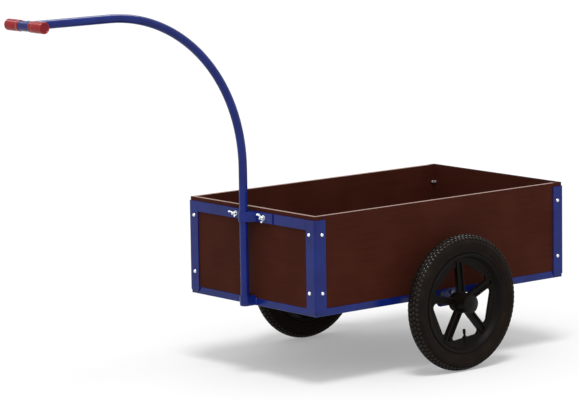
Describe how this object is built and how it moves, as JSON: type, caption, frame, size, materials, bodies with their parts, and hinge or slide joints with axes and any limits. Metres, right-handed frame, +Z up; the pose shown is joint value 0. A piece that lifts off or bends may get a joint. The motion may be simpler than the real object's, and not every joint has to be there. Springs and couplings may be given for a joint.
{
  "type": "hand cart",
  "caption": "Two-wheeled hand cart with an open board box in a painted angle frame, spoked pneumatic wheels and a bent tube drawbar that lifts out of its clamp.",
  "frame": {"origin": "on the ground, under the middle of the cart's overall length and width", "axes": "+Z up, -Y forward towards the drawbar's handle, +X to the cart's right hand side seen in the picture, along the axle"},
  "size_m": [0.798, 1.7592, 1.091],
  "materials": {
    "board": "dark brown film-faced plywood",
    "frame_blue": "blue paint, semi-gloss",
    "zinc": "bright zinc plating",
    "black_plastic": "moulded, fine texture",
    "tyre": "black rubber",
    "tube_rubber": "black rubber",
    "nylon": "natural nylon",
    "red_plastic": "moulded red plastic"
  },
  "bodies": {
    "cart": {"floor_panel": "board", "front_panel": "board", "rear_panel": "board", "left_panel": "board", "right_panel": "board", "front_bottom_rail": "frame_blue", "rear_bottom_rail": "frame_blue", "left_bottom_rail": "frame_blue", "right_bottom_rail": "frame_blue", "front_floor_bearer": "frame_blue", "rear_floor_bearer": "frame_blue", "front_left_post": "frame_blue", "front_right_post": "frame_blue", "rear_left_post": "frame_blue", "rear_right_post": "frame_blue", "front_top_rail": "frame_blue", "left_axle_bracket": "frame_blue", "right_axle_bracket": "frame_blue", "drawbar_socket": "frame_blue", "clamp_saddle": "frame_blue", "floor_screws": "zinc", "post_bolts": "zinc", "post_nuts": "zinc", "axle": "zinc", "bracket_bolts": "zinc", "bracket_nuts": "zinc", "clamp_studs": "zinc", "left_axle_spacer": "zinc", "left_inner_washer": "zinc", "left_outer_washer": "zinc", "left_axle_nut": "zinc", "right_axle_spacer": "zinc", "right_inner_washer": "zinc", "right_outer_washer": "zinc", "right_axle_nut": "zinc"},
    "left_wheel": {"left_rim": "black_plastic", "left_tyre": "tyre", "left_inner_tube": "tube_rubber", "left_valve": "tube_rubber", "left_hub_bush": "nylon", "left_hub_cap": "black_plastic"},
    "right_wheel": {"right_rim": "black_plastic", "right_tyre": "tyre", "right_inner_tube": "tube_rubber", "right_valve": "tube_rubber", "right_hub_bush": "nylon", "right_hub_cap": "black_plastic"},
    "drawbar": {"drawbar_tube": "frame_blue", "handle_sleeve": "frame_blue", "handle_crossbar": "frame_blue", "left_grip": "red_plastic", "right_grip": "red_plastic"},
    "clamp": {"clamp_strap": "frame_blue", "clamp_washers": "zinc"},
    "left_wing_nut": {"left_wing_nut": "zinc"},
    "right_wing_nut": {"right_wing_nut": "zinc"}
  },
  "joints": [
    {"name": "left_wheel_spin", "type": "hinge", "parent": "cart", "child": "left_wheel", "pos_m": [-0.354, 0.3994, 0.2], "axis": [1, 0, 0], "continuous": true},
    {"name": "right_wheel_spin", "type": "hinge", "parent": "cart", "child": "right_wheel", "pos_m": [0.354, 0.3994, 0.2], "axis": [1, 0, 0], "continuous": true},
    {"name": "drawbar_lift", "type": "slide", "parent": "cart", "child": "drawbar", "axis": [0, 0, 1], "range_m": [0, 0.28]},
    {"name": "clamp_release", "type": "slide", "parent": "cart", "child": "clamp", "axis": [0, -1, 0], "range_m": [0, 0.006]},
    {"name": "left_wing_nut_turn", "type": "hinge", "parent": "clamp", "child": "left_wing_nut", "pos_m": [-0.063, -0.1023, 0.472], "axis": [0, -1, 0], "continuous": true},
    {"name": "right_wing_nut_turn", "type": "hinge", "parent": "clamp", "child": "right_wing_nut", "pos_m": [0.063, -0.1023, 0.472], "axis": [0, -1, 0], "continuous": true}
  ]
}
